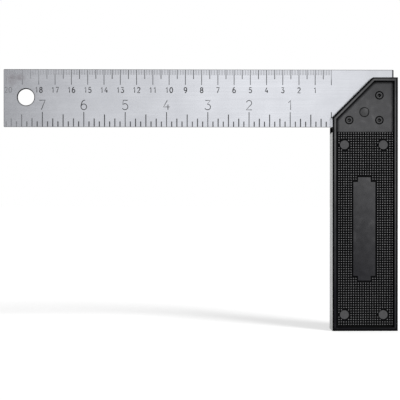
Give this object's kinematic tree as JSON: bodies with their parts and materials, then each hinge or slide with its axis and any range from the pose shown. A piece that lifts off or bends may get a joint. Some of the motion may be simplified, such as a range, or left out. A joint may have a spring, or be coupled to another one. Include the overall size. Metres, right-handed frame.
{
  "type": "try square",
  "caption": "Try square: a graduated steel rule blade set at a right angle in a black checkered stock, with a bright metal working face, hollow rivets and a hanging hole.",
  "frame": {"origin": "the inner corner of the square: on the blade's inner ruling edge, in the plane of the stock's working face, in the middle of the blade's thickness", "axes": "-X along the blade from the stock to the blade's free end, +Z from the stock's foot up to the blade, -Y out of the graduated front"},
  "size_m": [0.2415, 0.016, 0.1605],
  "materials": {
    "blade_steel": "satin ground along the blade",
    "bar_metal": "machined along the working face",
    "cover_black": "fine matt moulding",
    "fastener_black": "matt black"
  },
  "bodies": {
    "root": {"blade": "blade_steel", "metal_bar": "bar_metal", "front_cover": "cover_black", "rear_cover": "cover_black", "inner_rivet": "fastener_black", "outer_rivet": "fastener_black", "upper_rivet": "fastener_black", "locating_dowel": "fastener_black", "upper_inner_pin": "fastener_black", "upper_outer_pin": "fastener_black", "lower_inner_pin": "fastener_black", "lower_outer_pin": "fastener_black"}
  },
  "joints": []
}
